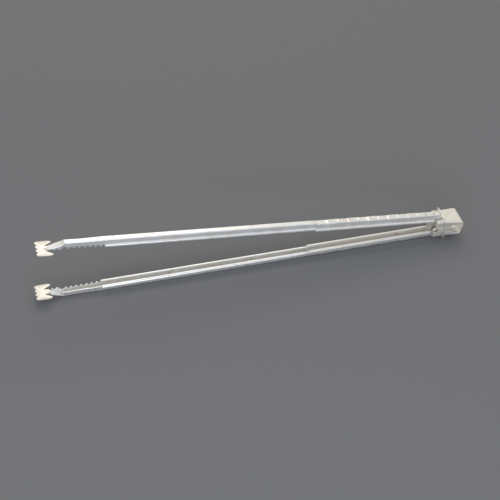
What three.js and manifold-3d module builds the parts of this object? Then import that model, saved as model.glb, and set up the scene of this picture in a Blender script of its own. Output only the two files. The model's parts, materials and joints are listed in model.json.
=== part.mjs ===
// Long spring tongs of pressed sheet steel for lifting hot crucibles and small vessels.
//
// Two arms are pressed as channels, with the web outside and the flanges turned in towards
// the other arm. Each arm is a front channel (teeth and tongue at its tip) that plugs into an
// embossed handle channel. A bent spring strip, the bow, joins the two handles at the tail,
// flat toothed jaw plates are riveted to the tips, and a wire ring rides round the bow.
//
// Units are millimetres, +Z up. Jaws point to -X and the bow to +X. The lower arm lies along
// the surface on its web. The origin is at the middle of the base of the whole part.
//
// Arms are drawn in an arm frame: x runs from the bow's end (0) towards the jaws (-LENGTH), y
// is across, and z is the depth measured inward from the outer face of the front arm's web.

import * as THREE from 'three';
import { mergeVertices } from 'three/addons/utils/BufferGeometryUtils.js';
import Module from 'manifold-3d';

const wasm = await Module();
wasm.setup();

// ---- driving dimensions ----

const LENGTH = 451; // jaw tip to bow end
const SHEET = 0.9; // thickness of the pressed steel
const GAP = 0.3; // running gap between neighbouring pieces
const CORNER = 1; // outer radius between web and flange
const BEAD = 1.7; // radius of the rolled bead on each flange edge

const HALF_ARM = 2.8; // half width of the front arm's web
const ARM_DEPTH = 8.4; // outer depth of the front arm, to the top of its beads
const ARM_FLARE = 0.7; // how far each flange leans out between web and bead
const BEAD_FRONT_X = -386; // where the beads of the front arm begin

const HALF_TIP = 2.6; // half width of the web ahead of the beads
const TIP_WEB_Z = 0.6; // the web is set in a little ahead of the beads
const TIP_FLARE = 0.5;
const PLAIN_EDGE_Z = 7.2; // depth of the untoothed flange ahead of the bead
const TOOTH_COUNT = 8; // teeth on the other flange
const TOOTH_PITCH = 5.04;
const TOOTH_FIRST_X = -421.2; // centre of the foremost of those teeth
const TOOTH_TIP_Z = 8.25;
const TOOTH_ROOT_Z = 5.8;
const TOOTH_TIP_HALF = 0.45;
const TOOTH_ROOT_HALF = 2.1;

const NECK_X = -425; // where the web bends sharply inward
const LEAF_X = -428; // where the narrow leaf of the neck begins
const LEAF_Z = 3.2;
const LEAF_HALF = 3.4; // widest half width of the leaf
const TONGUE_X = -438; // where the leaf lies flat on the jaw plate
const TONGUE_Z = 7; // outer face of the flat tongue
const JAW_RIVET_X = -439.5;
const NECK_TOOTH_X = [-429.5, -434.5]; // two more teeth beside the leaf
const NECK_TOOTH_Z = 9;

const JAW_THICKNESS = 1.2;
const JAW_Z = TONGUE_Z + SHEET + GAP; // outer face of the jaw plate
const JAW_FRONT_HALF = 9.3;
const JAW_LOBE_X = -435.5; // tips of the two rear lobes
const JAW_TOOTH_COUNT = 4;
const JAW_TOOTH_DEPTH = 1.6;

const SEAM_X = -172; // front arm meets handle
const SPIGOT_LENGTH = 16; // part of the front arm plugged into the handle
const HALF_HANDLE = 3; // half width of the handle's web
const HANDLE_WEB_Z = 0.6; // the handle's web is set in by this much between its pads
const HANDLE_DEPTH = 9.75;
const HANDLE_FLARE = 0.9;
const HANDLE_BEAD_END_X = -35.5; // rear end of the handle's beads
const HANDLE_END_X = -29;
const HANDLE_END_DEPTH = 8;

const PAD_COUNT = 5; // embossed finger pads on each handle
const PAD_PITCH = 22.95;
const PAD_FIRST_X = -158.6; // sharp front edge of the foremost pad
const PAD_LENGTH = 13.2;
const PAD_HALF = 3.3; // half width of a pad at the web
const PAD_SIDE_HALF = 3.9; // half width over the pad's sides
const PAD_SIDE_Z = 5; // how far a pad reaches down the flanges

const PIVOT_X = -5; // effective axis about which the bow bends
const PIVOT_Z = 15.05;
const OPENING_DEG = 6.5; // angle between the arms when nothing squeezes them

const LEG_Z = 5.8; // outer face of the bow's leg, in the arm frame
const BOW_BACK = 4.8; // outer face of the bow's back, behind the pivot
const BOW_CORNER = 5; // outer radius of the bow's two corners
const BOW_HALF_WAIST = 9.6; // half width where the ring rides
const BOW_HALF_BACK = 10.75; // half width at the bend
const BOW_HALF_LIMIT = 12; // wider than any part of the bow
const WAIST_X = -22;
const FLARE_END_X = -7;
const LOBE_TIP_X = -33;
const LOBE_INNER_Y = 5.2;
const BOW_FLANGE_DEPTH = 7.3;
const BOW_FLANGE_END_X = -3; // where the side flanges taper out
const BOW_TONGUE_STEP_X = [-26, -30]; // the tongue steps outward between these
const BOW_TONGUE_TIP_X = -52;
const BOW_TONGUE_Z = HANDLE_WEB_Z + SHEET + GAP;
const TAIL_RIVETS_X = [-36, -46];

const RIVET_STEM = 0.8;
const RIVET_HEAD = 1.5;
const RIVET_HEAD_HEIGHT = 0.5;

const RING_WIRE = 1.5; // wire diameter
const RING_HALF_WIDTH = 10.95; // to the wire's centre line
const RING_HEIGHT = 29; // between the wire's centre lines, top to bottom
const RING_CORNER = 4;
const RING_X = -22.3;
const RING_Z = 16.5;
const RING_LEAN_DEG = 10; // top of the ring leans towards the jaws

const OPENING = THREE.MathUtils.degToRad(OPENING_DEG);

// ---- materials ----

const steel = (color, roughness) => new THREE.MeshStandardMaterial({ color, roughness, metalness: 1 });
const armSteel = () => steel(0xd9d9d4, 0.28);
const jawSteel = () => steel(0xdedbd0, 0.34);
const handleSteel = () => steel(0xdcdcda, 0.26);
const springSteel = () => steel(0xd8d5cb, 0.32);
const rivetSteel = () => steel(0xbcbab4, 0.38);
const wireSteel = () => steel(0xc4c4c2, 0.25);

// ---- solids ----

function toSolid(geometry) {
  const bare = geometry.clone();
  bare.deleteAttribute('normal');
  bare.deleteAttribute('uv');
  const merged = mergeVertices(bare, 1e-4);
  const vertProperties = new Float32Array(merged.attributes.position.array);
  const triVerts = new Uint32Array(merged.index.array);
  return new wasm.Manifold(new wasm.Mesh({ numProp: 3, vertProperties, triVerts }));
}

function toGeometry(solid) {
  const { vertProperties, triVerts } = solid.getMesh();
  const geometry = new THREE.BufferGeometry();
  geometry.setAttribute('position', new THREE.BufferAttribute(vertProperties, 3));
  geometry.setIndex(new THREE.BufferAttribute(triVerts, 1));
  geometry.computeVertexNormals();
  return geometry;
}

const union = (solids) => solids.reduce((whole, next) => whole.add(next));
const cut = (solid, tools) => tools.reduce((rest, tool) => rest.subtract(tool), solid);

function extrude(shape, depth, basis, offset, curveSegments) {
  const geometry = new THREE.ExtrudeGeometry(shape, { depth, bevelEnabled: false, curveSegments });
  geometry.applyMatrix4(new THREE.Matrix4().makeBasis(...basis));
  geometry.translate(...offset);
  return toSolid(geometry);
}

const X = new THREE.Vector3(1, 0, 0);
const Y = new THREE.Vector3(0, 1, 0);
const Z = new THREE.Vector3(0, 0, 1);

// A (y, z) outline run along x, an (x, z) outline run across y, an (x, y) outline run up z.
const alongX = (shape, x0, x1, segments = 5) => extrude(shape, x1 - x0, [Y, Z, X], [x0, 0, 0], segments);
const acrossY = (shape, y0, y1, segments = 6) =>
  extrude(shape, y1 - y0, [X, Z, Y.clone().negate()], [0, y1, 0], segments);
const upZ = (shape, z0, z1, segments = 6) => extrude(shape, z1 - z0, [X, Y, Z], [0, 0, z0], segments);

function outline(points) {
  return new THREE.Shape(points.map(([a, b]) => new THREE.Vector2(a, b)));
}

const rectangle = (a0, a1, b0, b1) => outline([[a0, b0], [a1, b0], [a1, b1], [a0, b1]]);

// An outline given for y >= 0, completed by its mirror image in y.
function mirrored(points) {
  return outline([...points, ...points.map(([x, y]) => [x, -y]).reverse()]);
}

function lathe(profile, x, segments = 16) {
  const geometry = new THREE.LatheGeometry(profile.map(([r, z]) => new THREE.Vector2(r, z)), segments);
  geometry.rotateX(Math.PI / 2);
  geometry.translate(x, 0, 0);
  return toSolid(geometry);
}

// Straight hole of a rivet, along z at (x, 0).
const rivetHole = (x, z0, z1) =>
  lathe([[0, z0], [RIVET_STEM + GAP, z0], [RIVET_STEM + GAP, z1], [0, z1]], x);

// ---- channel sections, drawn in (y, z) with the web at the bottom ----

// Closed outline of a channel. Its flanges lean out by `flare`, and `bead` rolls their edges
// outward into a round bead centred on the flange's outer face.
function channelSection(half, webZ, depth, { sheet = SHEET, corner = CORNER, bead = 0, flare = 0 } = {}) {
  const shape = new THREE.Shape();
  const edge = half + flare;
  const sweep = bead > 0 ? Math.acos(-sheet / bead) : 0;
  shape.moveTo(0, webZ);
  shape.lineTo(half - corner, webZ);
  shape.absarc(half - corner, webZ + corner, corner, -Math.PI / 2, 0, false);
  if (bead > 0) {
    shape.lineTo(edge, depth - 2 * bead);
    shape.absarc(edge, depth - bead, bead, -Math.PI / 2, sweep, false);
  } else {
    shape.lineTo(edge, depth);
    shape.lineTo(edge - sheet, depth);
  }
  shape.lineTo(half - sheet, webZ + sheet);
  shape.lineTo(sheet - half, webZ + sheet);
  if (bead > 0) {
    shape.absarc(-edge, depth - bead, bead, Math.PI - sweep, 1.5 * Math.PI, false);
  } else {
    shape.lineTo(sheet - edge, depth);
    shape.lineTo(-edge, depth);
  }
  shape.absarc(corner - half, webZ + corner, corner, Math.PI, 1.5 * Math.PI, false);
  return shape;
}

// Round ends of a channel's two beads.
function beadEnds(x, y, z) {
  return [y, -y].map((side) => {
    const ball = new THREE.SphereGeometry(BEAD, 12, 8);
    ball.translate(x, side, z);
    return toSolid(ball);
  });
}

// ---- front arm ----

// Side outline (x, z) of the toothed flange between the neck and the bead.
function toothedOutline() {
  const rear = BEAD_FRONT_X + 1;
  const points = [[NECK_X - 1, 0], [rear, 0], [rear, TOOTH_ROOT_Z]];
  for (let i = TOOTH_COUNT - 1; i >= 0; i--) {
    const x = TOOTH_FIRST_X + i * TOOTH_PITCH;
    if (i < TOOTH_COUNT - 1) points.push([x + TOOTH_ROOT_HALF, TOOTH_ROOT_Z]);
    points.push([x + TOOTH_TIP_HALF, TOOTH_TIP_Z], [x - TOOTH_TIP_HALF, TOOTH_TIP_Z]);
    points.push([x - TOOTH_ROOT_HALF, TOOTH_ROOT_Z]);
  }
  points.push([NECK_X - 1, TOOTH_ROOT_Z]);
  return outline(points);
}

// The arm ahead of the beads: one flange is toothed, the other has a plain, lower edge.
function tipSolid() {
  const section = channelSection(HALF_TIP, TIP_WEB_Z, TOOTH_TIP_Z, { flare: TIP_FLARE });
  const side = HALF_TIP + 2 * TIP_FLARE;
  const toothed = acrossY(toothedOutline(), -1, side);
  const plain = acrossY(rectangle(NECK_X - 1, BEAD_FRONT_X + 1, 0, PLAIN_EDGE_Z), -side, 1);
  return alongX(section, NECK_X - 1, BEAD_FRONT_X + 1).intersect(toothed.add(plain));
}

// The bent neck and the flat tongue: a strip seen from the side, cut to a leaf seen from above.
function neckSolid() {
  const tip = JAW_RIVET_X - 3.5;
  const strip = outline([
    [NECK_X + 1, TIP_WEB_Z], [NECK_X + 1, TIP_WEB_Z + SHEET], [NECK_X, TIP_WEB_Z + SHEET],
    [LEAF_X, LEAF_Z + SHEET], [TONGUE_X, TONGUE_Z + SHEET], [tip, TONGUE_Z + SHEET],
    [tip, TONGUE_Z], [TONGUE_X, TONGUE_Z], [LEAF_X, LEAF_Z], [NECK_X, TIP_WEB_Z],
  ]);
  const leaf = mirrored([
    [NECK_X + 2, HALF_TIP - 0.2], [NECK_X, HALF_TIP - 0.1], [LEAF_X, LEAF_HALF],
    [LEAF_X - 6, LEAF_HALF], [JAW_RIVET_X, 2.3], [tip + 0.8, 0.9], [tip, 0.3],
  ]);
  return acrossY(strip, -LEAF_HALF, LEAF_HALF).intersect(upZ(leaf, 0, JAW_Z));
}

// Low flange beside the neck on the toothed side, with two more teeth.
function neckFlange() {
  const [rearTooth, frontTooth] = NECK_TOOTH_X;
  const flange = outline([
    [NECK_X + 0.5, 1], [NECK_X + 0.5, TOOTH_ROOT_Z], [rearTooth + 0.5, NECK_TOOTH_Z],
    [rearTooth - 0.5, NECK_TOOTH_Z], [rearTooth - 2.5, NECK_TOOTH_Z - 2.2],
    [frontTooth + 0.5, NECK_TOOTH_Z], [frontTooth - 0.5, NECK_TOOTH_Z],
    [frontTooth - 1.5, NECK_TOOTH_Z - 1.8], [frontTooth - 1.5, 5.6], [LEAF_X, LEAF_Z + 0.2],
  ]);
  return acrossY(flange, LEAF_HALF - SHEET - 0.1, LEAF_HALF - 0.1);
}

// The narrower channel that plugs into the handle, and the step that carries it.
function spigotSolids() {
  const half = HALF_HANDLE - SHEET - GAP;
  const webZ = HANDLE_WEB_Z + SHEET + GAP;
  const stepX = SEAM_X - GAP;
  const depth = ARM_DEPTH - BEAD;
  const step = channelSection(HALF_ARM, 0, depth, { sheet: 2 * SHEET, flare: ARM_FLARE });
  const stepWeb = rectangle(-half, half, SHEET / 2, webZ + SHEET);
  const plug = channelSection(half, webZ, depth, { corner: 0.6 });
  return [
    alongX(step, stepX - SHEET, stepX),
    alongX(stepWeb, stepX - SHEET, stepX),
    alongX(plug, stepX - SHEET / 2, SEAM_X + SPIGOT_LENGTH),
  ];
}

function frontArm() {
  const section = channelSection(HALF_ARM, 0, ARM_DEPTH, { bead: BEAD, flare: ARM_FLARE });
  const arm = union([
    alongX(section, BEAD_FRONT_X, SEAM_X - GAP),
    ...beadEnds(BEAD_FRONT_X, HALF_ARM + ARM_FLARE, ARM_DEPTH - BEAD),
    tipSolid(),
    neckSolid(),
    neckFlange(),
    ...spigotSolids(),
  ]);
  return toGeometry(arm.subtract(rivetHole(JAW_RIVET_X, TONGUE_Z - 1, TONGUE_Z + SHEET + 1)));
}

// ---- jaw plate ----

// Plan outline: toothed front edge, two lobes pointing back, and a middle tab for the rivet.
function jawOutline() {
  const pitch = (2 * JAW_FRONT_HALF) / JAW_TOOTH_COUNT;
  const front = [];
  for (let i = 0; i < JAW_TOOTH_COUNT; i++) {
    const y = (i + 0.5) * pitch - JAW_FRONT_HALF;
    front.push([JAW_TOOTH_DEPTH - LENGTH, y - pitch / 2 + 0.3]);
    front.push([-LENGTH, y - 0.5], [-LENGTH, y + 0.5]);
    front.push([JAW_TOOTH_DEPTH - LENGTH, y + pitch / 2 - 0.3]);
  }
  const lobe = JAW_LOBE_X;
  const rear = [
    [lobe - 5, 9.4], [lobe - 1.4, 8.9], [lobe, 7.9], [lobe - 0.5, 6.9],
    [lobe - 7, 3.2], [lobe - 2.4, 2.4], [lobe - 1, 1.3],
  ];
  return outline([...front.reverse(), ...rear.map(([x, y]) => [x, -y]), ...rear.reverse()]);
}

function jawPlate() {
  const face = JAW_Z + JAW_THICKNESS;
  const seat = [
    [0, JAW_Z - 1], [RIVET_STEM + GAP, JAW_Z - 1], [RIVET_STEM + GAP, face - RIVET_HEAD_HEIGHT - GAP],
    [RIVET_HEAD + GAP, face], [RIVET_HEAD + GAP, face + 1], [0, face + 1],
  ];
  return toGeometry(upZ(jawOutline(), JAW_Z, face).subtract(lathe(seat, JAW_RIVET_X)));
}

// Rivet with a flush countersunk head on the gripping face and a low head on the tongue.
function jawRivet() {
  const face = JAW_Z + JAW_THICKNESS;
  const back = TONGUE_Z - GAP;
  return toGeometry(lathe([
    ...lowHead(back, -1),
    [RIVET_STEM, back], [RIVET_STEM, face - RIVET_HEAD_HEIGHT], [RIVET_HEAD - 0.1, face], [0, face],
  ], JAW_RIVET_X));
}

// Profile of a low rivet head that rises from z in the direction `way`, from its axis outward.
function lowHead(z, way) {
  const top = z + way * RIVET_HEAD_HEIGHT;
  const middle = (z + top) / 2;
  return [[0, top], [RIVET_HEAD - 0.5, top], [RIVET_HEAD, middle], [RIVET_HEAD, z]];
}

// ---- handle ----

// A pad is highest at its sharp front edge, slopes down to the web, and has a round rear end.
function padSolid(x) {
  const rear = x + PAD_LENGTH;
  const side = new THREE.Shape();
  side.moveTo(x, 0);
  side.lineTo(x, PAD_SIDE_Z);
  side.lineTo(rear - 4, PAD_SIDE_Z);
  side.quadraticCurveTo(rear, PAD_SIDE_Z, rear, HANDLE_WEB_Z + 0.4);
  side.lineTo(rear - 0.5, HANDLE_WEB_Z - 0.15);
  const plan = new THREE.Shape();
  plan.moveTo(x, -PAD_SIDE_HALF);
  plan.lineTo(rear - PAD_SIDE_HALF, -PAD_SIDE_HALF);
  plan.absarc(rear - PAD_SIDE_HALF, 0, PAD_SIDE_HALF, -Math.PI / 2, Math.PI / 2, false);
  plan.lineTo(x, PAD_SIDE_HALF);
  const section = outline([
    [-PAD_SIDE_HALF, PAD_SIDE_Z], [-PAD_HALF, CORNER], [CORNER - PAD_HALF, 0],
    [PAD_HALF - CORNER, 0], [PAD_HALF, CORNER], [PAD_SIDE_HALF, PAD_SIDE_Z],
  ]);
  return acrossY(side, -PAD_SIDE_HALF, PAD_SIDE_HALF)
    .intersect(upZ(plan, -1, PAD_SIDE_Z + 1))
    .intersect(alongX(section, x - 1, rear + 1));
}

function handle() {
  const flare = HANDLE_FLARE;
  const beaded = channelSection(HALF_HANDLE, HANDLE_WEB_Z, HANDLE_DEPTH, { bead: BEAD, flare });
  const plainEnd = channelSection(HALF_HANDLE, HANDLE_WEB_Z, HANDLE_END_DEPTH, { flare });
  const inner = HALF_HANDLE - SHEET;
  const inside = rectangle(-inner, inner, HANDLE_WEB_Z + SHEET, HANDLE_DEPTH + 1);
  const shell = union([
    alongX(beaded, SEAM_X, HANDLE_BEAD_END_X),
    alongX(plainEnd, HANDLE_BEAD_END_X - 1, HANDLE_END_X),
    ...beadEnds(HANDLE_BEAD_END_X, HALF_HANDLE + flare, HANDLE_DEPTH - BEAD),
    ...Array.from({ length: PAD_COUNT }, (_, i) => padSolid(PAD_FIRST_X + i * PAD_PITCH)),
  ]);
  const holes = TAIL_RIVETS_X.map((x) => rivetHole(x, HANDLE_WEB_Z - 1, HANDLE_WEB_Z + SHEET + 1));
  return toGeometry(cut(shell, [alongX(inside, SEAM_X - 1, HANDLE_END_X + 1), ...holes]));
}

// Rivet through the handle's web and the bow's tongue: low heads outside and inside.
function tailRivet(x) {
  const outside = HANDLE_WEB_Z - GAP;
  const inside = BOW_TONGUE_Z + SHEET + GAP;
  const innerHead = lowHead(inside, 1).reverse();
  return toGeometry(lathe([
    ...lowHead(outside, -1), [RIVET_STEM, outside], [RIVET_STEM, inside], ...innerHead,
  ], x));
}

// ---- spring bow, drawn about the pivot with the arms' bisector along x ----

const legSlope = OPENING / 2;
const fromPivot = (x) => x - PIVOT_X;

// Side outline (x, z) of the bent strip: two legs, parallel to the two arms, and the back.
function bowProfile() {
  const reach = PIVOT_Z - LEG_Z;
  const cx = BOW_BACK - BOW_CORNER;
  const cz = (reach - BOW_CORNER - cx * Math.sin(legSlope)) / Math.cos(legSlope);
  const front = fromPivot(LOBE_TIP_X);
  const along = (front - cx) / Math.cos(legSlope);
  const turn = Math.PI / 2 - legSlope;
  const legEnd = (radius) => [
    cx + radius * Math.sin(legSlope) + along * Math.cos(legSlope),
    cz + radius * Math.cos(legSlope) - along * Math.sin(legSlope),
  ];
  const outer = legEnd(BOW_CORNER);
  const inner = legEnd(BOW_CORNER - SHEET);
  const shape = new THREE.Shape();
  shape.moveTo(outer[0], -outer[1]);
  shape.absarc(cx, -cz, BOW_CORNER, -turn, 0, false);
  shape.absarc(cx, cz, BOW_CORNER, 0, turn, false);
  shape.lineTo(...outer);
  shape.lineTo(...inner);
  shape.absarc(cx, cz, BOW_CORNER - SHEET, turn, 0, true);
  shape.absarc(cx, -cz, BOW_CORNER - SHEET, 0, -turn, true);
  shape.lineTo(inner[0], -inner[1]);
  return shape;
}

// Plan outline (x, y) of the strip, with its edges moved in by `inset`: flared bend, waist, and
// a forward-pointing lobe on each side. The inset outline runs on past the lobes' inner edges,
// so that it clears the whole space between the flanges.
function bowPlan(inset) {
  const waist = fromPivot(WAIST_X);
  const lobe = fromPivot(LOBE_TIP_X);
  return mirrored([
    [BOW_BACK + 1, BOW_HALF_BACK - inset],
    [fromPivot(FLARE_END_X), BOW_HALF_BACK - inset],
    [waist, BOW_HALF_WAIST - inset],
    [lobe + 1.5, BOW_HALF_WAIST - inset],
    [lobe - inset, BOW_HALF_WAIST - 1.5 - inset],
    [lobe - inset, LOBE_INNER_Y - inset],
    [waist - 1.5, LOBE_INNER_Y - inset],
  ]);
}

// The lower leg's two side flanges, as one block whose middle is still to be cleared.
function bowFlangeBlock() {
  const root = LEG_Z + SHEET / 2 - PIVOT_Z;
  const edge = LEG_Z + BOW_FLANGE_DEPTH - PIVOT_Z;
  const tip = fromPivot(LOBE_TIP_X) + 0.2;
  const block = outline([
    [tip, root], [fromPivot(BOW_FLANGE_END_X), root], [fromPivot(WAIST_X) + 3, edge], [tip, edge],
  ]);
  return acrossY(block, -BOW_HALF_LIMIT, BOW_HALF_LIMIT);
}

// Narrow tongue that steps outward from the lower leg and lies under the handle's web.
function bowTongue() {
  const leg = LEG_Z - PIVOT_Z;
  const tongue = BOW_TONGUE_Z - PIVOT_Z;
  const [stepRear, stepFront] = BOW_TONGUE_STEP_X.map(fromPivot);
  const root = fromPivot(WAIST_X);
  const tip = fromPivot(BOW_TONGUE_TIP_X);
  const strip = outline([
    [root, leg], [root, leg + SHEET], [stepRear - 0.4, leg + SHEET], [stepFront - 0.4, tongue + SHEET],
    [tip, tongue + SHEET], [tip, tongue], [stepFront, tongue], [stepRear, leg],
  ]);
  const half = HALF_HANDLE - SHEET - GAP;
  const holes = TAIL_RIVETS_X.map((x) => rivetHole(x, BOW_TONGUE_Z - 1, BOW_TONGUE_Z + SHEET + 1));
  return cut(acrossY(strip, -half, half), holes.map((hole) => hole.translate(-PIVOT_X, 0, -PIVOT_Z)));
}

function springBow() {
  const strip = acrossY(bowProfile(), -BOW_HALF_LIMIT, BOW_HALF_LIMIT, 8);
  const tilt = THREE.MathUtils.radToDeg(legSlope);
  const tallerThanBow = PIVOT_Z + BOW_HALF_LIMIT;
  const betweenFlanges = upZ(bowPlan(SHEET), -tallerThanBow, tallerThanBow);
  const plan = upZ(bowPlan(0), -tallerThanBow, tallerThanBow);
  const lowerFlanges = bowFlangeBlock().rotate(0, -tilt, 0).subtract(betweenFlanges);
  const lowerTongue = bowTongue().rotate(0, -tilt, 0);
  const upperFlanges = lowerFlanges.rotate(180, 0, 0);
  const upperTongue = lowerTongue.rotate(180, 0, 0);
  const flanged = union([strip, lowerFlanges, upperFlanges]).intersect(plan);
  return toGeometry(union([flanged, lowerTongue, upperTongue]));
}

// ---- lock ring ----

// Rounded rectangle of wire in the YZ plane. Its butted ends leave a small gap at the bottom.
function ringPath() {
  const w = RING_HALF_WIDTH;
  const h = RING_HEIGHT / 2;
  const r = RING_CORNER;
  const path = new THREE.CurvePath();
  const at = (y, z) => new THREE.Vector3(0, y, z);
  const side = (from, to) => path.add(new THREE.LineCurve3(from, to));
  const corner = (from, through, to) => path.add(new THREE.QuadraticBezierCurve3(from, through, to));
  side(at(GAP / 2, -h), at(w - r, -h));
  corner(at(w - r, -h), at(w, -h), at(w, r - h));
  side(at(w, r - h), at(w, h - r));
  corner(at(w, h - r), at(w, h), at(w - r, h));
  side(at(w - r, h), at(r - w, h));
  corner(at(r - w, h), at(-w, h), at(-w, h - r));
  side(at(-w, h - r), at(-w, r - h));
  corner(at(-w, r - h), at(-w, -h), at(r - w, -h));
  side(at(r - w, -h), at(-GAP / 2, -h));
  return path;
}

function lockRing() {
  const wire = new THREE.Shape();
  wire.absarc(0, 0, RING_WIRE / 2, 0, 2 * Math.PI, false);
  const options = { extrudePath: ringPath(), steps: 72, curveSegments: 4, bevelEnabled: false };
  return toGeometry(toSolid(new THREE.ExtrudeGeometry(wire, options)));
}

// ---- assembly ----

function part(name, geometry, material) {
  const mesh = new THREE.Mesh(geometry, material);
  mesh.name = name;
  return mesh;
}

// All the pieces of one arm, in the arm frame.
function arm(prefix) {
  const pieces = new THREE.Group();
  pieces.add(
    part(`${prefix}_front_arm`, frontArm(), armSteel()),
    part(`${prefix}_jaw_plate`, jawPlate(), jawSteel()),
    part(`${prefix}_jaw_rivet`, jawRivet(), rivetSteel()),
    part(`${prefix}_handle`, handle(), handleSteel()),
  );
  TAIL_RIVETS_X.forEach((x, i) => {
    pieces.add(part(`${prefix}_tail_rivet_${i + 1}`, tailRivet(x), rivetSteel()));
  });
  return pieces;
}

const tongs = new THREE.Group();
tongs.position.x = LENGTH / 2;

// The upper arm is the lower one turned over about its length, then swung open about the pivot.
const aboutPivot = arm('upper');
aboutPivot.position.set(-PIVOT_X, 0, -PIVOT_Z);
const turnedOver = new THREE.Group();
turnedOver.rotation.x = Math.PI;
turnedOver.add(aboutPivot);
const upperArm = new THREE.Group();
upperArm.position.set(PIVOT_X, 0, PIVOT_Z);
upperArm.rotation.y = OPENING;
upperArm.add(turnedOver);

const bow = part('spring_bow', springBow(), springSteel());
bow.position.set(PIVOT_X, 0, PIVOT_Z);
bow.rotation.y = OPENING / 2;

const ring = part('lock_ring', lockRing(), wireSteel());
ring.position.set(RING_X, 0, RING_Z);
ring.rotation.y = -THREE.MathUtils.degToRad(RING_LEAN_DEG);

tongs.add(arm('lower'), upperArm, bow, ring);

export default tongs;
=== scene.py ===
"""Looks of the long spring tongs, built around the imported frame. Metres, +Z up, jaws at -X, bow at +X."""
import json
import math

import bpy
import bmesh
from mathutils import Matrix, Vector


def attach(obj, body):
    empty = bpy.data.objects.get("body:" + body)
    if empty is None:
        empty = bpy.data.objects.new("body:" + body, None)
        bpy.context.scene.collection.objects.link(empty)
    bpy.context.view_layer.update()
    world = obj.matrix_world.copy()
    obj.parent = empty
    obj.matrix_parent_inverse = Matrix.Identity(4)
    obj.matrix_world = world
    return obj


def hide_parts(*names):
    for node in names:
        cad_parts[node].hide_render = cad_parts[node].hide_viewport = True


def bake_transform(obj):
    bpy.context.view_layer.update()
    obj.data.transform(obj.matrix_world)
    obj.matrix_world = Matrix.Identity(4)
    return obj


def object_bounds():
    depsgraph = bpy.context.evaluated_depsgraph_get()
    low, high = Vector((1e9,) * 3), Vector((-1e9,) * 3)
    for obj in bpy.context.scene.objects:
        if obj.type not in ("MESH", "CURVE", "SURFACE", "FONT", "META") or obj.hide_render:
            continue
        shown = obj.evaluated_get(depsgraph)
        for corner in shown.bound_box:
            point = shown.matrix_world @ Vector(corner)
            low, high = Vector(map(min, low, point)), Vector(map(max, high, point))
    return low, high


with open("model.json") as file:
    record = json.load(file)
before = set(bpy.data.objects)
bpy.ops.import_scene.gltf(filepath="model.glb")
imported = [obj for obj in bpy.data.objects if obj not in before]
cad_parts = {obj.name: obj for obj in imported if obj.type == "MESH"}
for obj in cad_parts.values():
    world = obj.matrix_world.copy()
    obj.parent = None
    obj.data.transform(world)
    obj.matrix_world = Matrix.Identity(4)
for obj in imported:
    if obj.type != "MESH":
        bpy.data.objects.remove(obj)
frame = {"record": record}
CAD_LOW, CAD_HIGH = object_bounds()
MM = 0.001

# ---- sizes of the real piece, in millimetres; x is 0 at the bow end of an arm ----

SHEET = 0.9
CORNER = 1.0
BEAD = 1.7

HALF_ARM = 2.8
ARM_DEPTH = 8.4
ARM_FLARE = 0.7
BEAD_FRONT_X = -386

HALF_TIP = 2.6
TIP_WEB_Z = 0.6
TIP_FLARE = 0.5
PLAIN_EDGE_Z = 7.2
TIP_TAPER = 24  # the arm narrows over this length ahead of its beads
TOOTH_COUNT = 8
TOOTH_PITCH = 5.04
TOOTH_FIRST_X = -421.2
TOOTH_TIP_Z = 8.25
TOOTH_ROOT_Z = 5.8
TOOTH_TIP_HALF = 0.45
TOOTH_ROOT_HALF = 2.1

NECK_X = -425
LEAF_X = -428
LEAF_Z = 3.2
LEAF_HALF = 3.3
TONGUE_X = -438
TONGUE_Z = 7.0
JAW_RIVET_X = -439.5
LEAF_TIP_X = -443
NECK_TOOTH_X = (-429.5, -434.5)
NECK_TOOTH_Z = 8.95

JAW_FRONT_X = -451
JAW_LOBE_X = -435.5
JAW_Z = 8.2
JAW_FACE_Z = 9.3
JAW_FRONT_HALF = 9.3
JAW_TOOTH_COUNT = 4
JAW_TOOTH_DEPTH = 1.6

SEAM_X = -172
GAP = 0.3
SPIGOT_LENGTH = 16
HALF_HANDLE = 3.0
HANDLE_WEB_Z = 0.6
HANDLE_DEPTH = 9.75
HANDLE_FLARE = 0.9
HANDLE_BEAD_END_X = -35.5
HANDLE_END_X = -29
HANDLE_END_DEPTH = 8

PAD_COUNT = 5
PAD_PITCH = 22.95
PAD_FIRST_X = -158.6
PAD_LENGTH = 13.2
PAD_HALF = 3.9
PAD_SIDE_Z = 5
PAD_HEIGHT = 0.58
PAD_WEB_Z = 1.7  # the web's share of a pad ends here, its flange's begins
PAD_SIDE_SETBACK = 2.2
PAD_SLOPE = 0.35  # part of its height that a pad loses towards its rear
PAD_DISH = 0.75
PAD_SIDE_PART = 0.72  # how proud a pad is on the flanges, as a part of its height
PAD_LEVELS = (0.12, 0.35, 0.6, 0.78, 0.88, 0.97)  # points down each flange that shape a pad

PIVOT_X = -5
PIVOT_Z = 15.05
OPENING = math.radians(6.5)
LEG_Z = 5.8
BOW_BACK = 4.8
BOW_CORNER = 5
BOW_HALF_WAIST = 9.6
BOW_HALF_BACK = 10.7
WAIST_X = -22
FLARE_END_X = -7
LOBE_TIP_X = -33
LOBE_INNER_Y = 5.2
BOW_FLANGE_DEPTH = 7.3
BOW_FLANGE_END_X = -3
TONGUE_STEP_X = (-26, -30)
BOW_TONGUE_TIP_X = -52
BOW_TONGUE_Z = 1.8
TAIL_RIVETS_X = (-36, -46)

RIVET_HEAD = 1.5
RIVET_HEAD_HEIGHT = 0.5

WIRE = 0.75
RING_HALF_WIDTH = 10.95
RING_HEIGHT = 29
RING_CORNER = 4
RING_X = -22.3
RING_Z = 16.5
RING_LEAN = math.radians(10)

# ---- where the two arms lie; each is built in its own frame, lengths in millimetres ----

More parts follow.
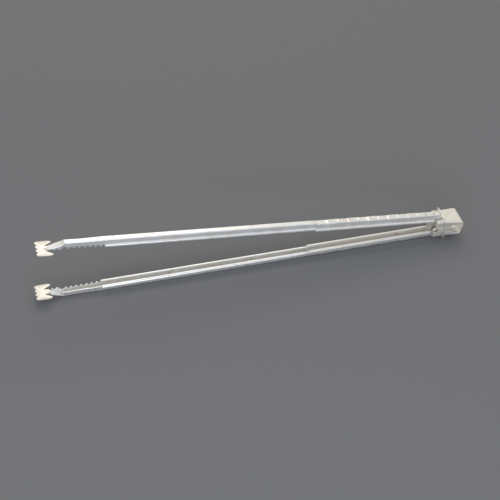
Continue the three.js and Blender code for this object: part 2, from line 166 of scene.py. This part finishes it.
PIVOT = Vector(frame["record"]["behaviour"]["joints"][0]["pos_m"])
SCALE = Matrix.Scale(MM, 4)
FROM_PIVOT = Matrix.Translation((-PIVOT_X, 0, -PIVOT_Z))
TURNED_OVER = Matrix.Rotation(math.pi, 4, "X")
SWUNG_OPEN = Matrix.Rotation(OPENING, 4, "Y")
ARM_FRAMES = {
    "lower": Matrix.Translation(PIVOT) @ SCALE @ FROM_PIVOT,
    "upper": Matrix.Translation(PIVOT) @ SWUNG_OPEN @ SCALE @ TURNED_OVER @ FROM_PIVOT,
}
BOW_FRAME = Matrix.Translation(PIVOT) @ Matrix.Rotation(OPENING / 2, 4, "Y") @ SCALE


# ---- small helpers ----

def mix(a, b, t):
    return a + (b - a) * t


def smooth(t):
    t = min(1, max(0, t))
    return t * t * (3 - 2 * t)


def between(points, x):
    """Value at x of the straight lines between (x, value) points, given in rising x."""
    if x <= points[0][0]:
        return points[0][1]
    for (xa, a), (xb, b) in zip(points, points[1:]):
        if x <= xb:
            return mix(a, b, (x - xa) / (xb - xa))
    return points[-1][1]


def round_swell(distance):
    """Part of a bead's full radius at this distance inside its round end, from 0 to 1."""
    if distance <= 0:
        return 0
    return math.sqrt(1 - (1 - min(1, distance / BEAD)) ** 2)


def steps(a, b, pitch):
    """Evenly spaced values from a to b, no further apart than pitch."""
    count = max(1, math.ceil(abs(b - a) / pitch))
    return [mix(a, b, i / count) for i in range(count + 1)]


def arc(cy, cz, radius, start, stop, count):
    return [
        (cy + radius * math.cos(t), cz + radius * math.sin(t))
        for t in (mix(start, stop, i / count) for i in range(count + 1))
    ]


def add_loft(bm, rings):
    """Closed tube through rings of equally many points, with capped ends."""
    loops = [[bm.verts.new(p) for p in ring] for ring in rings]
    for here, there in zip(loops, loops[1:]):
        for i in range(len(here)):
            j = (i + 1) % len(here)
            bm.faces.new((here[i], here[j], there[j], there[i]))
    bm.faces.new(loops[0][::-1])
    bm.faces.new(loops[-1])


def finish_mesh(bm, name, matrix, crease=math.radians(32)):
    """Turns the bmesh, in millimetres, into an object, smooth but for its creases."""
    bmesh.ops.remove_doubles(bm, verts=bm.verts, dist=1e-5)
    bmesh.ops.dissolve_degenerate(bm, edges=bm.edges, dist=1e-5)
    bmesh.ops.triangulate(bm, faces=[f for f in bm.faces if len(f.verts) > 4])
    bmesh.ops.recalc_face_normals(bm, faces=bm.faces)
    for face in bm.faces:
        face.smooth = True
    for edge in bm.edges:
        edge.smooth = len(edge.link_faces) == 2 and edge.calc_face_angle(0) < crease
    turn = matrix.to_3x3().normalized().to_4x4()
    place = Matrix.Translation(matrix.to_translation()) @ turn
    bmesh.ops.transform(bm, matrix=place.inverted() @ matrix, verts=bm.verts)
    mesh = bpy.data.meshes.new(name)
    bm.to_mesh(mesh)
    bm.free()
    piece = bpy.data.objects.new(name, mesh)
    bpy.context.scene.collection.objects.link(piece)
    piece.matrix_world = place
    return piece


# ---- channel sections, in (y, z) with the web at the bottom ----

WEB_STEPS = (0, 0.35, 0.7)  # points across half of the web, up to its corner
CORNER_STEPS = 4
RIM_STEPS = 9


def half_section(half, edge, web_z, top, roll, corner=CORNER, levels=(0.5,)):
    """One half of a channel's outline, from the outer to the inner middle of its web.
    roll runs from 0, a plain rounded edge, to 1, the full bead."""
    radius = mix(SHEET / 2, BEAD, roll)
    cy, cz = edge - (1 - roll) * SHEET / 2, top - radius
    start, stop = -roll * math.pi / 2, mix(math.pi, math.acos(-SHEET / BEAD), roll)
    rim = arc(cy, cz, radius, start, stop, RIM_STEPS)
    foot = (half, web_z + corner)
    web = [((half - corner) * k, web_z) for k in WEB_STEPS]
    bend = arc(half - corner, web_z + corner, corner, -math.pi / 2, 0, CORNER_STEPS)
    side = [(mix(foot[0], rim[0][0], k), mix(foot[1], rim[0][1], k)) for k in levels]
    inner = half - SHEET
    floor = web_z + SHEET
    fold = min(0.4, max(0.05, (rim[-1][1] - floor) / 2))
    return [
        *web, *bend, *side, *rim,
        (inner, floor + fold), (inner - fold * 0.3, floor + fold * 0.3), (inner - fold, floor),
        (inner / 2, floor), (0, floor),
    ]


def whole_section(right, left):
    """Closed outline from the halves on the +y and the -y side."""
    return right + [(-y, z) for y, z in left[::-1]][1:-1]


# ---- front arm ----

def toothed_edge(x):
    """Height of the toothed flange at x, between the neck and the bead."""
    i = round((x - TOOTH_FIRST_X) / TOOTH_PITCH)
    i = min(TOOTH_COUNT - 1, max(0, i))
    off = abs(x - TOOTH_FIRST_X - i * TOOTH_PITCH)
    return between([(TOOTH_TIP_HALF, TOOTH_TIP_Z), (TOOTH_ROOT_HALF, TOOTH_ROOT_Z)], off)


def tooth_stations():
    stations = []
    for i in range(TOOTH_COUNT):
        x = TOOTH_FIRST_X + i * TOOTH_PITCH
        for off in (TOOTH_ROOT_HALF, 1.3, TOOTH_TIP_HALF, 0.15):
            stations += [x - off, x + off]
    return stations


def neck_height(x):
    """Outer face of the strip along the bent neck and the leaf."""
    return between([(TONGUE_X, TONGUE_Z), (LEAF_X, LEAF_Z), (NECK_X, TIP_WEB_Z)], x)


def leaf_half(x):
    return between([
        (LEAF_TIP_X, 0.5), (LEAF_TIP_X + 0.4, 0.9), (JAW_RIVET_X, 2.3), (LEAF_X - 6, LEAF_HALF),
        (LEAF_X, LEAF_HALF), (NECK_X, HALF_TIP - 0.05),
    ], x)


def neck_flange_top(x):
    """Top of the low flange beside the leaf, with its two teeth."""
    rear, front = NECK_TOOTH_X
    return between([
        (front - 1.9, 0), (front - 1.4, 7.2), (front - 0.5, NECK_TOOTH_Z), (front + 0.5, NECK_TOOTH_Z),
        (rear - 2.5, NECK_TOOTH_Z - 2.2), (rear - 0.5, NECK_TOOTH_Z), (rear + 0.5, NECK_TOOTH_Z),
        (NECK_X, TOOTH_ROOT_Z),
    ], x)


def leaf_section(x):
    """The flat strip of the neck; its +y side still carries the low flange."""
    web_z, half = neck_height(x), leaf_half(x)
    corner = min(SHEET / 2, half / 3)
    plain = web_z + SHEET
    raised = max(plain, neck_flange_top(x))
    side = half_section(half, half, web_z, raised, 0, corner)
    other = half_section(half, half, web_z, plain, 0, corner)
    return whole_section(side, other)


def arm_section(x):
    """The channel between the neck and the handle; its beads swell up at BEAD_FRONT_X."""
    roll = round_swell(x - BEAD_FRONT_X + BEAD)
    back = smooth((x - BEAD_FRONT_X + TIP_TAPER) / TIP_TAPER)
    half, web_z = mix(HALF_TIP, HALF_ARM, back), mix(TIP_WEB_Z, 0, back)
    edge = half + mix(TIP_FLARE, ARM_FLARE, back)
    toothed = mix(toothed_edge(x), ARM_DEPTH, roll)
    plain = mix(PLAIN_EDGE_Z, ARM_DEPTH, roll)
    return whole_section(
        half_section(half, edge, web_z, toothed, roll), half_section(half, edge, web_z, plain, roll)
    )


def ring_at(x, section):
    return [Vector((x, y, z)) for y, z in section]


def front_arm(side):
    bm = bmesh.new()
    leaf = [LEAF_TIP_X + off for off in (0, 0.15, 0.4, 1)]
    leaf += steps(LEAF_TIP_X + 2, NECK_X, 0.4)
    swell = [BEAD_FRONT_X - BEAD * k for k in (1, 0.97, 0.9, 0.75, 0.5, 0.2)]
    beaded = steps(BEAD_FRONT_X, SEAM_X - GAP - 0.3, 6)
    body = sorted({NECK_X + 0.3, *tooth_stations(), *swell, *beaded})
    rings = [ring_at(x, leaf_section(x)) for x in leaf]
    rings += [ring_at(x, arm_section(x)) for x in body if x > NECK_X]
    eased_end = [(y * 0.985, z * 0.99 + 0.04) for y, z in arm_section(SEAM_X)]
    rings.append(ring_at(SEAM_X - GAP, eased_end))
    add_loft(bm, rings)
    plug_half = HALF_HANDLE - SHEET - GAP
    plug_z = HANDLE_WEB_Z + SHEET + GAP
    plug = half_section(plug_half, plug_half, plug_z, ARM_DEPTH - BEAD, 0, 0.5)
    plug_ends = (SEAM_X - 1.2, SEAM_X + SPIGOT_LENGTH)
    add_loft(bm, [ring_at(x, whole_section(plug, plug)) for x in plug_ends])
    return finish_mesh(bm, f"{side}_arm_channel", ARM_FRAMES[side])


# ---- jaw plate and rivets ----

def jaw_points():
    """Outline of the plate: toothed front, two rear lobes, and the tab for the rivet."""
    pitch = 2 * JAW_FRONT_HALF / JAW_TOOTH_COUNT
    root = JAW_FRONT_X + JAW_TOOTH_DEPTH
    points = []
    for i in range(JAW_TOOTH_COUNT):
        y = (i + 0.5) * pitch - JAW_FRONT_HALF
        points += [(root, y - pitch / 2 + 0.3), (JAW_FRONT_X, y - 0.5), (JAW_FRONT_X, y + 0.5)]
        points.append((root, y + pitch / 2 - 0.3))
    lobe = JAW_LOBE_X
    rear = [
        (lobe - 5, 9.3), (lobe - 3, 9.15), (lobe - 1.4, 8.85), (lobe - 0.4, 8.4), (lobe, 7.85),
        (lobe - 0.1, 7.3), (lobe - 0.6, 6.9), (lobe - 7, 3.2),
        (lobe - 2.4, 2.4), (lobe - 1.2, 1.7), (lobe - 1, 1.2),
    ]
    return points + rear + [(x, -y) for x, y in rear[::-1]]


def jaw_plate(side):
    bm = bmesh.new()
    bottom = bm.faces.new([bm.verts.new((x, y, JAW_Z)) for x, y in jaw_points()])
    extruded = bmesh.ops.extrude_face_region(bm, geom=[bottom])["geom"]
    for vert in (v for v in extruded if isinstance(v, bmesh.types.BMVert)):
        vert.co.z = JAW_FACE_Z
    rims = [e for e in bm.edges if abs(e.verts[0].co.z - e.verts[1].co.z) < 1e-6]
    bmesh.ops.bevel(bm, geom=rims, offset=0.16, segments=2, profile=0.5, affect="EDGES")
    return finish_mesh(bm, f"{side}_jaw_blade", ARM_FRAMES[side])


def add_lathe(bm, profile, x, count=28):
    """Turned body about the z axis at (x, 0), from (radius, z) points on either side of it."""
    rows = []
    for radius, z in profile:
        turns = (2 * math.pi * i / count for i in range(count))
        rows.append([Vector((x + radius * math.cos(t), radius * math.sin(t), z)) for t in turns])
    add_loft(bm, rows)


def dome(z, way, height=RIVET_HEAD_HEIGHT, radius=RIVET_HEAD):
    """Profile of a low set head rising from z in the direction way, rim first."""
    shape = ((1, 0), (1, 0.35), (0.93, 0.66), (0.78, 0.86), (0.5, 0.96), (0.2, 1), (0.02, 1))
    return [(radius * r, z + way * height * h) for r, h in shape]


def jaw_rivet(side):
    bm = bmesh.new()
    back = dome(TONGUE_Z - GAP, -1, RIVET_HEAD_HEIGHT * 0.95)[::-1]
    face = dome(JAW_FACE_Z - 0.05, 1, 0.14)
    add_lathe(bm, back + face, JAW_RIVET_X)
    return finish_mesh(bm, f"{side}_jaw_pin", ARM_FRAMES[side])


def tail_rivet(side, number, x):
    bm = bmesh.new()
    outside = dome(HANDLE_WEB_Z - GAP, -1)[::-1]
    inside = dome(BOW_TONGUE_Z + SHEET + GAP, 1)
    add_lathe(bm, outside + [(0.8, HANDLE_WEB_Z), (0.8, BOW_TONGUE_Z + SHEET)] + inside, x)
    return finish_mesh(bm, f"{side}_tail_pin_{number}", ARM_FRAMES[side])


# ---- handle ----

def pad_relief(x, y, z):
    """How far the embossed pads stand out at a point of the handle's skin, from 0 to 1."""
    i = min(PAD_COUNT - 1, max(0, math.floor((x - PAD_FIRST_X + 1) / PAD_PITCH)))
    along = x - PAD_FIRST_X - i * PAD_PITCH
    across = min(abs(y), PAD_HALF)
    plan_end = PAD_LENGTH - PAD_HALF + math.sqrt(PAD_HALF ** 2 - across ** 2) * 0.98
    side_end = PAD_LENGTH - 4 * min(1, max(0, z) / PAD_SIDE_Z) ** 2
    on_web = z < PAD_WEB_Z
    end = min(plan_end, side_end) if on_web else side_end - PAD_SIDE_SETBACK
    rim = smooth((end - along) / 0.8) * smooth((along + 0.1) / 0.22)
    rim *= smooth((PAD_SIDE_Z + 0.3 - z) / 0.5)
    dish = smooth((end - along - 1.5) / 0.8) * smooth((along - 1.3) / 0.8)
    dish *= 1 - smooth((abs(y) - 1.2) / 0.7)
    height = 1 - PAD_SLOPE * along / PAD_LENGTH
    return rim * height * (1 - (PAD_DISH * dish if on_web else 0))


def handle_section(x):
    roll = round_swell(HANDLE_BEAD_END_X + BEAD - x)
    top = mix(HANDLE_END_DEPTH, HANDLE_DEPTH, roll)
    edge = HALF_HANDLE + HANDLE_FLARE
    half = half_section(HALF_HANDLE, edge, HANDLE_WEB_Z, top, roll, levels=PAD_LEVELS)
    outer = len(WEB_STEPS) + CORNER_STEPS + 1 + len(PAD_LEVELS)
    out = []
    for i, (y, z) in enumerate(half):
        relief = PAD_HEIGHT * pad_relief(x, y, z) if i < outer else 0
        lean = min(1, max(0, (z - HANDLE_WEB_Z) / CORNER)) if y > HALF_HANDLE - CORNER else 0
        out.append((y + relief * lean * PAD_SIDE_PART, z - relief * (1 - lean)))
    return whole_section(out, out)


def handle(side):
    bm = bmesh.new()
    stations = {SEAM_X, SEAM_X + 0.3, HANDLE_END_X, HANDLE_END_X - 0.4}
    stations |= set(steps(SEAM_X, HANDLE_BEAD_END_X - 2, 5))
    stations |= {HANDLE_BEAD_END_X + BEAD * k for k in (-1, 0, 0.3, 0.6, 0.8, 0.92, 0.99, 1.05, 2)}
    for i in range(PAD_COUNT):
        x = PAD_FIRST_X + i * PAD_PITCH
        stations |= {x - 0.2, x - 0.05, x + 0.1, x + 0.3, x + 1, x + 1.5, x + 2}
        stations |= set(steps(x + 3, x + PAD_LENGTH + 0.3, 0.42))
    add_loft(bm, [ring_at(x, handle_section(x)) for x in sorted(stations)])
    return finish_mesh(bm, f"{side}_grip_channel", ARM_FRAMES[side])


# ---- spring bow, built about the pivot ----

def bow_half_width(x):
    return between([(WAIST_X - PIVOT_X, BOW_HALF_WAIST), (FLARE_END_X - PIVOT_X, BOW_HALF_BACK)], x)


def bow_flange(x):
    """Depth of the side flanges at x along a leg; they taper out towards the bend."""
    full = WAIST_X - PIVOT_X + 3
    return between([(full, BOW_FLANGE_DEPTH), (BOW_FLANGE_END_X - PIVOT_X, SHEET)], x)


def leg_frame(way):
    """Point and inward direction of a leg at distance x from the pivot; way is -1 below, 1 above."""
    lean = OPENING / 2
    height = PIVOT_Z - LEG_Z
    def at(x):
        px = x * math.cos(lean) + height * math.sin(lean)
        pz = way * (height * math.cos(lean) - x * math.sin(lean))
        return Vector((px, 0, pz)), Vector((-math.sin(lean), 0, -way * math.cos(lean)))
    return at


PAST_FLANGES = 9  # leg x that stands for the bend and the back, where no flange is left


def bow_path():
    """Stations (point, inward direction, leg x) from one leg's notch over the back to the other's."""
    lower = leg_frame(-1)
    start = WAIST_X - PIVOT_X - 1.5
    corner_z = lower(BOW_BACK)[0].z
    turn = math.pi / 2 - OPENING / 2
    reach = BOW_CORNER * math.tan(turn / 2)
    stop = BOW_BACK - reach * math.cos(OPENING / 2) - (PIVOT_Z - LEG_Z) * math.sin(OPENING / 2)
    half = [(*lower(x), x) for x in steps(start, stop, 1)]
    centre = half[-1][0] + half[-1][1] * BOW_CORNER
    for i in range(1, 11):
        t = mix(-math.pi / 2 + OPENING / 2, 0, i / 10)
        out = Vector((math.cos(t), 0, math.sin(t)))
        half.append((centre + out * BOW_CORNER, -out, PAST_FLANGES))
    half.append((Vector((BOW_BACK, 0, corner_z * 0.25)), Vector((-1, 0, 0)), PAST_FLANGES))
    flip = Matrix.Diagonal((1, 1, -1))
    return half + [(flip @ p, flip @ n, x) for p, n, x in half[::-1]]


def sheet_ring(point, inward, section):
    return [point + Vector((0, y, 0)) + inward * z for y, z in section]


def lobe_section(x, side):
    """Strip beside the tongue, with its flange; it is rounded off at its front tip."""
    tip = LOBE_TIP_X - PIVOT_X
    trim = max(0, 1 - (x - tip) / 1.5) ** 2
    outer, inner = BOW_HALF_WAIST - 1.4 * trim, LOBE_INNER_Y + 0.4 * trim
    top = BOW_FLANGE_DEPTH - 0.7 * trim
    bend = arc(outer - CORNER, CORNER, CORNER, -math.pi / 2, 0, 5)
    loop = [
        (inner, 0.1), (inner + 0.1, 0), *bend, (outer, top / 2),
        (outer, top - 0.12), (outer - 0.12, top), (outer - SHEET + 0.12, top), (outer - SHEET, top - 0.12),
        (outer - SHEET, SHEET + 0.4), (outer - SHEET - 0.4, SHEET),
        (inner + 0.1, SHEET), (inner, SHEET - 0.1),
    ]
    return [(side * y, z) for y, z in loop]


def tongue_section():
    half = HALF_HANDLE - SHEET - GAP
    return [(-half, 0.15), (0.15 - half, 0), (half - 0.15, 0), (half, 0.15),
            (half, SHEET - 0.15), (half - 0.15, SHEET), (0.15 - half, SHEET), (-half, SHEET - 0.15)]


def add_leg_end(bm, way):
    at = leg_frame(way)
    notch = WAIST_X - PIVOT_X - 1.5
    tip = LOBE_TIP_X - PIVOT_X
    for side in (-1, 1):
        stations = steps(notch + 0.4, tip + 1.5, 2) + [tip + 1, tip + 0.5, tip + 0.2, tip]
        add_loft(bm, [sheet_ring(*at(x), lobe_section(x, side)) for x in stations])
    rear, front = (x - PIVOT_X for x in TONGUE_STEP_X)
    drop = LEG_Z - BOW_TONGUE_Z
    step = steps(rear + 0.4, front - 0.4, 0.4)
    flat = steps(front - 1.4, BOW_TONGUE_TIP_X - PIVOT_X, 4)
    rings = []
    for x in [notch + 1.2, *step, *flat]:
        point, inward = at(x)
        stepped = point - inward * drop * smooth((rear - x) / (rear - front))
        rings.append(sheet_ring(stepped, inward, tongue_section()))
    add_loft(bm, rings)


def spring_bow():
    bm = bmesh.new()
    rings = []
    for point, inward, x in bow_path():
        width = bow_half_width(x)
        half = half_section(width, width, 0, bow_flange(x), 0, 0.45 + 0.55 * smooth((2 - x) / 10))
        rings.append(sheet_ring(point, inward, whole_section(half, half)))
    add_loft(bm, rings)
    for way in (-1, 1):
        add_leg_end(bm, way)
    bmesh.ops.transform(bm, matrix=BOW_FRAME, verts=bm.verts)
    return finish_mesh(bm, "bent_strip", Matrix.Identity(4))


# ---- lock ring ----

def ring_path():
    """Points and directions of the wire's centre line, from one butted end round to the other."""
    w, h, r = RING_HALF_WIDTH, RING_HEIGHT / 2, RING_CORNER
    ends = 0.17
    points = [(y, -h) for y in steps(ends, w - r, 2)]
    for cy, cz, first in ((w - r, r - h, -0.5), (w - r, h - r, 0), (r - w, h - r, 0.5), (r - w, r - h, 1)):
        points += arc(cy, cz, r * 0.97, first * math.pi, (first + 0.5) * math.pi, 8)
    points += [(y, -h) for y in steps(r - w, -ends, 2)]
    return [Vector((0, y, z)) for y, z in points]


def lock_ring():
    bm = bmesh.new()
    path = ring_path()
    rings = []
    for i, point in enumerate(path):
        along = (path[min(i + 1, len(path) - 1)] - path[max(i - 1, 0)]).normalized()
        side = along.cross(Vector((1, 0, 0)))
        worn = WIRE * (0.985 + 0.01 * math.sin(i * 1.7))
        turns = (2 * math.pi * k / 14 for k in range(14))
        rings.append([point + worn * (side * math.cos(t) + Vector((1, 0, 0)) * math.sin(t)) for t in turns])
    add_loft(bm, rings)
    place = Matrix.Translation(Vector((RING_X - PIVOT_X, 0, RING_Z - PIVOT_Z)) * MM + PIVOT)
    return finish_mesh(bm, "wire_loop", place @ Matrix.Rotation(-RING_LEAN, 4, "Y") @ SCALE)


# ---- materials ----

class Nodes:
    """A material's node tree, with short ways to add and join its nodes."""

    def __init__(self, name):
        self.material = bpy.data.materials.new(name)
        self.material.use_nodes = True
        self.tree = self.material.node_tree
        self.shader = self.tree.nodes["Principled BSDF"]
        self.coords = self.tree.nodes.new("ShaderNodeTexCoord").outputs["Object"]

    def link(self, output, target):
        self.tree.links.new(output, target)

    def noise(self, stretch, detail=4.0, roughness=0.55):
        """Noise of the piece's own coordinates, in repeats per metre along x, y and z."""
        mapping = self.tree.nodes.new("ShaderNodeMapping")
        mapping.inputs["Scale"].default_value = stretch
        self.link(self.coords, mapping.inputs["Vector"])
        texture = self.tree.nodes.new("ShaderNodeTexNoise")
        texture.inputs["Scale"].default_value = 1
        texture.inputs["Detail"].default_value = detail
        texture.inputs["Roughness"].default_value = roughness
        self.link(mapping.outputs["Vector"], texture.inputs["Vector"])
        return texture.outputs["Fac"]

    def ramp(self, value, low, high, a, b):
        """value between low and high turned into colours from a to b."""
        ramp = self.tree.nodes.new("ShaderNodeValToRGB")
        ramp.color_ramp.elements[0].position = low
        ramp.color_ramp.elements[1].position = high
        ramp.color_ramp.elements[0].color = (*a, 1)
        ramp.color_ramp.elements[1].color = (*b, 1)
        self.link(value, ramp.inputs["Fac"])
        return ramp.outputs["Color"]

    def range(self, value, a, b):
        """value from 0 to 1 turned into numbers from a to b."""
        node = self.tree.nodes.new("ShaderNodeMapRange")
        node.inputs["To Min"].default_value = a
        node.inputs["To Max"].default_value = b
        self.link(value, node.inputs["Value"])
        return node.outputs["Result"]

    def multiply(self, a, b):
        node = self.tree.nodes.new("ShaderNodeMix")
        node.data_type = "RGBA"
        node.blend_type = "MULTIPLY"
        node.inputs["Factor"].default_value = 1
        self.link(a, node.inputs["A"])
        self.link(b, node.inputs["B"])
        return node.outputs["Result"]

    def bump(self, height, depth, normal=None):
        node = self.tree.nodes.new("ShaderNodeBump")
        node.inputs["Distance"].default_value = depth
        self.link(height, node.inputs["Height"])
        if normal:
            self.link(normal, node.inputs["Normal"])
        return node.outputs["Normal"]


def steel(name, tint, roughness, lines=(40, 2600, 2600), metal=0.66):
    """Bright rolled steel: faint drawing lines, soft blotches, fine scratches and a little tarnish."""
    n = Nodes(name)
    dark = tuple(c * 0.86 for c in tint)
    warm = (0.95, 0.92, 0.87)
    blotch = n.noise((90, 160, 160), 3)
    drawn = n.noise(lines, 5, 0.6)
    scratch = n.noise((lines[0] * 6, lines[1] * 2, lines[2] * 2), 2)
    waves = n.noise((60, 120, 120), 1)
    streaks = n.ramp(drawn, 0.30, 0.62, dark, tint)
    tarnish = n.ramp(blotch, 0.30, 0.60, warm, (1, 1, 1))
    n.link(n.multiply(streaks, tarnish), n.shader.inputs["Base Color"])
    n.link(n.range(blotch, roughness * 0.7, roughness * 1.35), n.shader.inputs["Roughness"])
    n.shader.inputs["Metallic"].default_value = metal
    relief = n.bump(waves, 0.00012)
    relief = n.bump(drawn, 0.000012, relief)
    n.link(n.bump(scratch, 0.000006, relief), n.shader.inputs["Normal"])
    return n.material


# ---- camera ----

VIEW_ELEVATION = math.radians(47.9)
VIEW_TURN = math.radians(23.43)  # the view runs from the jaws' side towards the bow
VIEW_ROLL = math.radians(8.63)
VIEW_DISTANCE = 1.0206
VIEW_CENTRE = Vector((-10.4, 0, 21.8)) * MM  # what the middle of the picture looks at
LENS = 73.04


def add_camera():
    forward = Vector((
        math.sin(VIEW_TURN) * math.cos(VIEW_ELEVATION),
        math.cos(VIEW_TURN) * math.cos(VIEW_ELEVATION),
        -math.sin(VIEW_ELEVATION),
    ))
    level = Vector((math.cos(VIEW_TURN), -math.sin(VIEW_TURN), 0))
    upright = level.cross(forward)
    right = math.cos(VIEW_ROLL) * level + math.sin(VIEW_ROLL) * upright
    up = math.cos(VIEW_ROLL) * upright - math.sin(VIEW_ROLL) * level
    data = bpy.data.cameras.new("camera")
    data.sensor_width = 36
    data.lens = LENS
    data.clip_start = 0.01
    data.clip_end = 20
    camera = bpy.data.objects.new("camera", data)
    bpy.context.scene.collection.objects.link(camera)
    turn = Matrix((right, up, -forward)).transposed().to_4x4()
    camera.matrix_world = Matrix.Translation(VIEW_CENTRE - VIEW_DISTANCE * forward) @ turn
    bpy.context.scene.camera = camera


# ---- floor and light ----

def add_floor(half=6, tone=(0.165, 0.167, 0.17)):
    mesh = bpy.data.meshes.new("floor")
    corners = [(-half, -half, 0), (half, -half, 0), (half, half, 0), (-half, half, 0)]
    mesh.from_pydata(corners, [], [(0, 1, 2, 3)])
    floor = bpy.data.objects.new("floor", mesh)
    bpy.context.scene.collection.objects.link(floor)
    floor.location.z = CAD_LOW.z - 0.0002
    n = Nodes("floor_paper")
    n.shader.inputs["Base Color"].default_value = (*tone, 1)
    n.shader.inputs["Roughness"].default_value = 0.85
    n.shader.inputs["Specular IOR Level"].default_value = 0.2
    mesh.materials.append(n.material)


def area_light(name, location, size, power, color=(1, 1, 1), target=(0, 0, 0.02)):
    data = bpy.data.lights.new(name, "AREA")
    data.shape = "RECTANGLE"
    data.size, data.size_y = size
    data.energy = power
    data.color = color
    light = bpy.data.objects.new(name, data)
    bpy.context.scene.collection.objects.link(light)
    light.location = location
    light.rotation_mode = "QUATERNION"
    light.rotation_quaternion = (Vector(target) - Vector(location)).to_track_quat("-Z", "Y")


def add_sky(strength=0.78):
    """Pale studio walls: warm and bright behind and above, cooler and a little dimmer in front."""
    world = bpy.data.worlds.new("studio")
    world.use_nodes = True
    nodes, links = world.node_tree.nodes, world.node_tree.links
    coords = nodes.new("ShaderNodeTexCoord")
    split = nodes.new("ShaderNodeSeparateXYZ")
    ramp = nodes.new("ShaderNodeValToRGB")
    shift = nodes.new("ShaderNodeMapRange")
    shift.inputs["From Min"].default_value = -1
    ramp.color_ramp.elements[0].position = 0.1
    ramp.color_ramp.elements[0].color = (0.72, 0.78, 0.92, 1)
    ramp.color_ramp.elements[1].position = 0.75
    ramp.color_ramp.elements[1].color = (1.0, 0.96, 0.89, 1)
    links.new(coords.outputs["Generated"], split.inputs["Vector"])
    links.new(split.outputs["Y"], shift.inputs["Value"])
    links.new(shift.outputs["Result"], ramp.inputs["Fac"])
    links.new(ramp.outputs["Color"], nodes["Background"].inputs["Color"])
    nodes["Background"].inputs["Strength"].default_value = strength
    bpy.context.scene.world = world


def add_studio():
    add_camera()
    add_floor()
    add_sky()
    area_light("key", (0.1, 1.1, 1.5), (1.2, 1.0), 8, (1, 0.98, 0.95))
    area_light("front", (-0.4, -1.5, 0.45), (1.6, 0.7), 15, (0.92, 0.96, 1))
    bpy.context.scene.view_settings.view_transform = "Standard"


# ---- the tongs ----

def dress(piece, node, body, material):
    """Puts the material on a piece, which then stands for a node and rides on its body, if any."""
    piece.data.materials.append(material)
    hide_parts(node)
    if body:
        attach(piece, body)


def add_arms():
    arm = steel("drawn_steel", (0.86, 0.86, 0.85), 0.30)
    grip = steel("pressed_steel", (0.87, 0.86, 0.83), 0.30)
    blade = steel("sheared_steel", (0.74, 0.71, 0.65), 0.42, (900, 900, 900))
    pin = steel("set_rivet", (0.72, 0.71, 0.69), 0.40, (900, 900, 900))
    for side in ("lower", "upper"):
        body = f"{side}_side"
        dress(front_arm(side), f"{side}_front_arm", body, arm)
        dress(handle(side), f"{side}_handle", body, grip)
        dress(jaw_plate(side), f"{side}_jaw_plate", body, blade)
        dress(jaw_rivet(side), f"{side}_jaw_rivet", body, pin)
        for number, x in enumerate(TAIL_RIVETS_X, 1):
            dress(tail_rivet(side, number, x), f"{side}_tail_rivet_{number}", body, pin)


def add_bow():
    bow = spring_bow()
    strip = steel("spring_strip", (0.86, 0.84, 0.78), 0.33, (60, 1500, 1500))
    dress(bow, "spring_bow", None, strip)
    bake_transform(bow)


def add_ring():
    wire = steel("plated_wire", (0.74, 0.74, 0.75), 0.22, (900, 900, 900))
    dress(lock_ring(), "lock_ring", "ring", wire)


add_studio()
add_arms()
add_bow()
add_ring()
